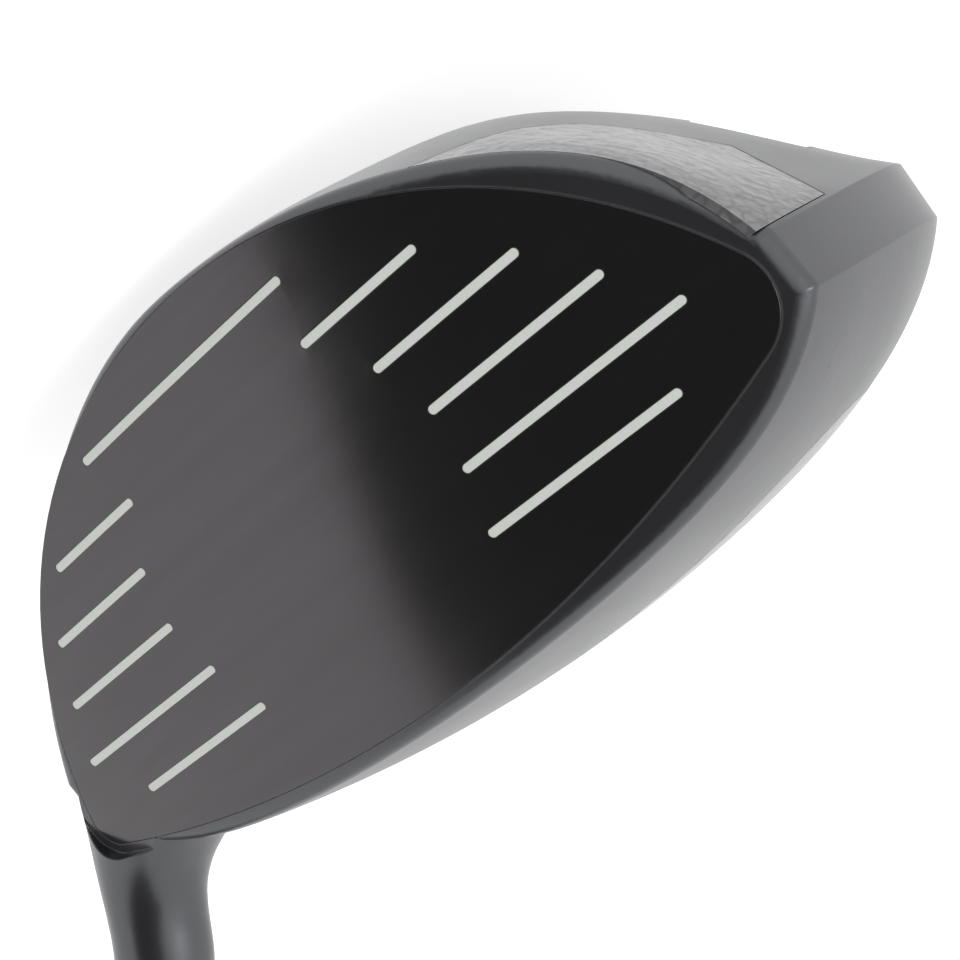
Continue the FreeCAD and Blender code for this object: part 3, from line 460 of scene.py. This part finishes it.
def score_stripe(made, up, ends, width, sink, thickness):
    """One round-ended stripe of paint, bent to the face."""
    half, middle = (ends[1] - ends[0]) / 2, sum(ends) / 2
    disc = bmesh.ops.create_circle(
        made, cap_ends=True, cap_tris=False, segments=LINE_SIDES, radius=width / 2
    )["verts"]
    for vert in disc:
        vert.co.x += math.copysign(half - width / 2, vert.co.x)
    faces = list({face for vert in disc for face in vert.link_faces})
    for cut in range(1 - LINE_CUTS, LINE_CUTS):
        parts = faces + list({e for f in faces for e in f.edges}) + list(
            {v for f in faces for v in f.verts}
        )
        bmesh.ops.bisect_plane(
            made, geom=parts, plane_co=(cut / LINE_CUTS * half, 0, 0), plane_no=(1, 0, 0)
        )
        faces = linked_faces(disc[0])
    rim = bmesh.ops.inset_region(made, faces=faces, thickness=width * LINE_SHOULDER)
    inner = [f for f in linked_faces(disc[0]) if f not in set(rim["faces"])]
    raised = {v for f in inner for v in f.verts}
    skin = linked_faces(disc[0])
    height = {v: (LINE_CROWN if v in raised else 0.0) for f in skin for v in f.verts}
    for vert, rise in height.items():
        vert.co = on_face(vert.co.x + middle, vert.co.y + up, rise - sink)
    deep = bmesh.ops.extrude_face_region(made, geom=skin, use_keep_orig=True)["geom"]
    for vert in deep:
        if isinstance(vert, bmesh.types.BMVert):
            vert.co -= FACE_OUT * thickness


def merged_copy(name):
    """A CAD node's mesh with its loose triangles joined up."""
    made = bmesh.new()
    made.from_mesh(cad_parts[name].data)
    bmesh.ops.remove_doubles(made, verts=made.verts, dist=1e-6)
    return made


def along_shaft(name):
    """A CAD node's points in the shaft's own axes."""
    inverse = SHAFT_PLACE.inverted()
    return [inverse @ vert.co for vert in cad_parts[name].data.vertices]


def end_radii(points, height):
    """The least and greatest distance from the shaft's line near a height along it."""
    found = [math.hypot(p.x, p.y) for p in points if abs(p.z - height) < 1.2 * MM]
    return min(found), max(found)


def crinkle(point, size):
    """Height of the crinkled surface at a point, about 0 to 1."""
    bent = point + 0.5 * size * noise.noise_vector(point / (2.2 * size))
    broad = 1 - abs(noise.noise(bent / size))
    fine = 1 - abs(noise.noise(bent / (0.42 * size)))
    return 0.65 * broad ** 3 + 0.35 * fine ** 2


# ---------------------------------------------------------------- operators

class MakeOperator(bpy.types.Operator):
    """What every making operator shares."""

    bl_options = {"REGISTER", "UNDO"}

    @property
    def looks(self):
        return bpy.context.scene.driver_club


class DRIVER_OT_head(MakeOperator):
    """Finish the cast head, its neck and the braces inside"""

    bl_idname = "driver.head"
    bl_label = "Head finish"

    def execute(self, context):
        colours = self.looks.colours
        coat(satin_coat(colours.shell), "head_body")
        coat(woven_crown(colours.crown), "crown_shell")
        coat(
            grained("milled_titanium", (0.42, 0.40, 0.38), 0.4 * MM, 0.01 * MM, 0.42,
                    metallic=1.0, stretch=(0.1, 1, 1)),
            "brace_toe", "brace_heel",
        )
        coat(
            grained("moulded_plastic", (0.02, 0.02, 0.02), 0.3 * MM, 0.01 * MM, 0.5),
            "screw_retainer",
        )
        return {"FINISHED"}


class DRIVER_OT_face(MakeOperator):
    """Finish the face plate and fill its score lines with paint"""

    bl_idname = "driver.face"
    bl_label = "Face and score lines"

    def execute(self, context):
        colours, sizes = self.looks.colours, self.looks.sizes
        coat(brushed_face(colours.face), "face_plate")
        made = bmesh.new()
        for up, (near, far) in SCORE_LINES:
            sides = [(near, far)] if near < 0 else [(near, far), (-far, -near)]
            for ends in sides:
                grown = (ends[0] * MM - sizes.line_width / 2, ends[1] * MM + sizes.line_width / 2)
                score_stripe(
                    made, up * MM, grown, sizes.line_width, sizes.line_sink,
                    sizes.line_thickness,
                )
        piece(
            "score_line_paint", made, line_paint(colours.line), "head",
            smooth_to=math.radians(50),
        )
        return {"FINISHED"}


class DRIVER_OT_sole(MakeOperator):
    """Make the crinkled composite panels of the sole"""

    bl_idname = "driver.sole"
    bl_label = "Crinkled sole panels"

    def execute(self, context):
        colours, sizes = self.looks.colours, self.looks.sizes
        skin = crinkled(colours.sole)
        noise.seed_set(CRINKLE_SEED)
        middle = sum(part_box("head_body"), Vector()) / 2
        for name in ("toe_panel", "heel_panel"):
            made = merged_copy(name)
            for _ in range(PANEL_ROUNDS):
                long_edges = [e for e in made.edges if e.calc_length() > sizes.panel_edge]
                bmesh.ops.subdivide_edges(made, edges=long_edges, cuts=1)
                bmesh.ops.triangulate(
                    made, quad_method="SHORT_EDGE",
                    faces=[f for f in made.faces if len(f.verts) > 3],
                )
                if len(made.faces) > PANEL_MOST_FACES:
                    break
            made.normal_update()
            for vert in made.verts:
                agreement = min(f.normal.dot(vert.normal) for f in vert.link_faces)
                if agreement > PANEL_FLATNESS and vert.normal.dot(vert.co - middle) > 0:
                    rise = crinkle(vert.co, sizes.crinkle_size) - 0.75
                    vert.co += vert.normal * (rise * sizes.crinkle_depth)
            panel = piece(
                name + "_skin", made, skin, "head",
                smooth_to=math.radians(40),
            )
            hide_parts(name)
        return {"FINISHED"}


class DRIVER_OT_weight(MakeOperator):
    """Finish the weight track, the sliding weight and its screw"""

    bl_idname = "driver.weight"
    bl_label = "Weight and track"

    def execute(self, context):
        colours = self.looks.colours
        lowest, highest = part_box("weight_screw")
        place = WEIGHT_LINE.to_track_quat("Z", "Y").to_matrix().to_4x4()
        place.translation = (lowest + highest) / 2
        coat(
            grained("anodised_track", colours.track, 0.2 * MM, 0.006 * MM, 0.34, metallic=0.7),
            "weight_track",
        )
        coat(turned_metal("turned_weight", colours.weight, place, 0.24), "weight_block")
        coat(
            turned_metal("black_oxide_weight_screw", colours.screw, place, 0.28,
                         metallic=0.85, pitch=0.08 * MM),
            "weight_screw", "weight_clamp",
        )
        return {"FINISHED"}


class DRIVER_OT_adapter(MakeOperator):
    """Finish the adapter, ferrule, screw and washer in the neck"""

    bl_idname = "driver.adapter"
    bl_label = "Adapter and ferrule"

    def execute(self, context):
        colours = self.looks.colours
        coat(
            turned_metal("anodised_adapter", colours.adapter, SHAFT_PLACE, 0.26),
            "adapter_sleeve", "loft_cog",
        )
        coat(
            turned_metal("black_oxide_hosel_screw", colours.screw, SHAFT_PLACE, 0.28,
                         metallic=0.85, pitch=0.08 * MM),
            "hosel_screw", "screw_washer",
        )
        coat(
            turned_metal("turned_ferrule", colours.ferrule, SHAFT_PLACE, 0.12, metallic=0.0,
                         pitch=0.25 * MM),
            "ferrule",
        )
        coat(turned_metal("turned_brass", (0.58, 0.42, 0.16), SHAFT_PLACE, 0.3), "tip_plug")
        return {"FINISHED"}


class DRIVER_OT_shaft(MakeOperator):
    """Finish the graphite shaft"""

    bl_idname = "driver.shaft"
    bl_label = "Shaft"

    def execute(self, context):
        coat(lacquered_graphite(self.looks.colours.shaft), "shaft")
        return {"FINISHED"}


class DRIVER_OT_grip(MakeOperator):
    """Mould the rubber grip with its crossing grooves"""

    bl_idname = "driver.grip"
    bl_label = "Grip"

    def execute(self, context):
        colours, sizes = self.looks.colours, self.looks.sizes
        points = along_shaft("grip")
        low, high = min(p.z for p in points), max(p.z for p in points)
        mouth, butt = end_radii(points, low), end_radii(points, high)
        made = bmesh.new()
        outer = []
        for row in range(GRIP_ROWS + 1):
            share = row / GRIP_ROWS
            radius = mouth[1] + (butt[1] - mouth[1]) * share
            outer.append(made.verts.new((radius, 0, low + (high - low) * share)))
        inner = [
            made.verts.new((butt[0], 0, high)), made.verts.new((mouth[0], 0, low)),
        ]
        ring = outer + inner
        edges = [made.edges.new((a, b)) for a, b in zip(ring, ring[1:] + ring[:1])]
        bmesh.ops.spin(
            made, geom=ring + edges, axis=(0, 0, 1), cent=(0, 0, 0), angle=2 * math.pi,
            steps=sizes.grip_steps, use_merge=True, use_duplicate=False,
        )
        bmesh.ops.remove_doubles(made, verts=made.verts, dist=1e-7)
        for vert in made.verts:
            self.groove(vert, low, high, (mouth, butt), sizes)
        bmesh.ops.transform(made, matrix=SHAFT_PLACE, verts=made.verts)
        moulded = piece(
            "moulded_grip", made, rubber(colours.grip), "shaft_assembly",
            smooth_to=math.radians(60),
        )
        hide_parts("grip")
        coat(rubber(colours.grip), "grip_cap")
        coat(
            grained("grip_tape", (0.55, 0.50, 0.40), 0.5 * MM, 0.02 * MM, 0.8,
                    stretch=(1, 0.2, 1)),
            "grip_tape",
        )
        return {"FINISHED"}

    @staticmethod
    def groove(vert, low, high, radii, sizes):
        """Sinks a point of the outside where a groove crosses it."""
        share = (vert.co.z - low) / (high - low)
        wall = radii[0][0] + (radii[1][0] - radii[0][0]) * share
        radius = math.hypot(vert.co.x, vert.co.y)
        if radius < wall + SKIN_DEPTH or not PLAIN_ENDS[0] < share < PLAIN_ENDS[1]:
            return
        angle = math.atan2(vert.co.y, vert.co.x)
        rise = (vert.co.z - low) / sizes.grip_pitch * math.pi
        cut = max(
            max(0.0, 1 - abs(math.sin(GROOVE_STARTS * angle + side * rise)) / GROOVE_WIDTH)
            for side in (1, -1)
        )
        plain = abs(math.sin(PLAIN_BANDS * math.pi * share)) < PLAIN_WIDTH
        depth = 0.0 if plain else sizes.grip_groove * min(1.0, 1.4 * cut)
        vert.co.x *= (radius - depth) / radius
        vert.co.y *= (radius - depth) / radius


class DRIVER_OT_stage(MakeOperator):
    """Set the floor, the studio light and the camera"""

    bl_idname = "driver.stage"
    bl_label = "Floor, light and camera"

    def execute(self, context):
        scene = context.scene
        self.floor()
        self.card("front_flag", CARD_CORNERS, CARD_GLOW)
        world = bpy.data.worlds.new("white_tent")
        world.use_nodes = True
        backdrop = world.node_tree.nodes["Background"]
        backdrop.inputs["Color"].default_value = (1, 1, 1, 1)
        backdrop.inputs["Strength"].default_value = 1.0
        scene.world = world
        self.softbox("side_softbox", (-1.3, -0.2, 0.9), (0, 0, 0.03), 0.8, 7)
        lens = bpy.data.cameras.new("camera")
        lens.lens, lens.sensor_width = CAMERA_LENS, 36.0
        lens.clip_start, lens.clip_end = 0.01, 60.0
        camera = bpy.data.objects.new("camera", lens)
        back = CAMERA_RIGHT.cross(CAMERA_UP)
        turned = Matrix((CAMERA_RIGHT, CAMERA_UP, back)).transposed().to_4x4()
        turned.translation = CAMERA_PLACE
        camera.matrix_world = turned
        scene.collection.objects.link(camera)
        scene.camera = camera
        scene.view_settings.view_transform = "Standard"
        return {"FINISHED"}

    def floor(self):
        """A plain pale floor under the sole."""
        made = bmesh.new()
        bmesh.ops.create_grid(
            made, x_segments=1, y_segments=1, size=self.looks.sizes.floor_size / 2
        )
        bmesh.ops.translate(made, verts=made.verts, vec=(0, 0, -FLOOR_DROP))
        thing = self.linked("floor", made)
        material, tree, shader, where = started("pale_floor")
        shader.inputs["Emission Color"].default_value = (1, 1, 1, 1)
        shader.inputs["Emission Strength"].default_value = FLOOR_GLOW
        cloud = speckle(tree, where, 400 * MM)
        dress(
            shader, tree, shades(tree, cloud, (0.42, 0.42, 0.42), 0.99, 1.01),
            spread(tree, cloud, 0.7, 0.8), relief(tree, cloud, 0.1 * MM),
        )
        thing.data.materials.append(material)
        thing.visible_glossy = False

    def card(self, name, corners, glow):
        """A dark card that the club reflects and the camera doesn't see."""
        made = bmesh.new()
        made.faces.new([made.verts.new(corner) for corner in corners])
        thing = self.linked(name, made)
        material = bpy.data.materials.new(name)
        material.use_nodes = True
        shader = material.node_tree.nodes["Principled BSDF"]
        shader.inputs["Base Color"].default_value = (0.02, 0.02, 0.02, 1)
        shader.inputs["Roughness"].default_value = 1.0
        shader.inputs["Emission Color"].default_value = (*glow, 1)
        shader.inputs["Emission Strength"].default_value = 1.0
        thing.data.materials.append(material)
        thing.visible_camera = False
        thing.visible_diffuse = False
        thing.visible_shadow = False

    @staticmethod
    def linked(name, made):
        """A mesh of the stage, which isn't part of the club."""
        mesh = bpy.data.meshes.new(name)
        made.to_mesh(mesh)
        made.free()
        thing = bpy.data.objects.new(name, mesh)
        bpy.context.scene.collection.objects.link(thing)
        return thing

    @staticmethod
    def softbox(name, place, target, size, power):
        """A large soft light."""
        light = bpy.data.lights.new(name, "AREA")
        light.size, light.energy = size, power
        thing = bpy.data.objects.new(name, light)
        thing.location = place
        thing.rotation_euler = (Vector(target) - Vector(place)).to_track_quat("-Z", "Y").to_euler()
        bpy.context.scene.collection.objects.link(thing)


class DRIVER_PT_panel(bpy.types.Panel):
    """The driver's pieces and settings"""

    bl_idname = "DRIVER_PT_panel"
    bl_label = "Golf driver"
    bl_space_type = "VIEW_3D"
    bl_region_type = "UI"
    bl_category = "Driver"

    def draw(self, context):
        for operator in OPERATORS:
            self.layout.operator(operator.bl_idname)
        for group in (context.scene.driver_club.colours, context.scene.driver_club.sizes):
            box = self.layout.box()
            for name in group.bl_rna.properties.keys():
                if name not in ("rna_type", "name"):
                    box.prop(group, name)


OPERATORS = (
    DRIVER_OT_head, DRIVER_OT_face, DRIVER_OT_sole, DRIVER_OT_weight, DRIVER_OT_adapter,
    DRIVER_OT_shaft, DRIVER_OT_grip, DRIVER_OT_stage,
)
CLASSES = (DriverColours, DriverSizes, DriverSettings, *OPERATORS, DRIVER_PT_panel)


def register():
    for each in CLASSES:
        bpy.utils.register_class(each)
    bpy.types.Scene.driver_club = PointerProperty(type=DriverSettings)


def unregister():
    del bpy.types.Scene.driver_club
    for each in reversed(CLASSES):
        bpy.utils.unregister_class(each)


def main():
    register()
    for operator in OPERATORS:
        group, name = operator.bl_idname.split(".")
        getattr(getattr(bpy.ops, group), name)()


if __name__ == "__main__":
    main()
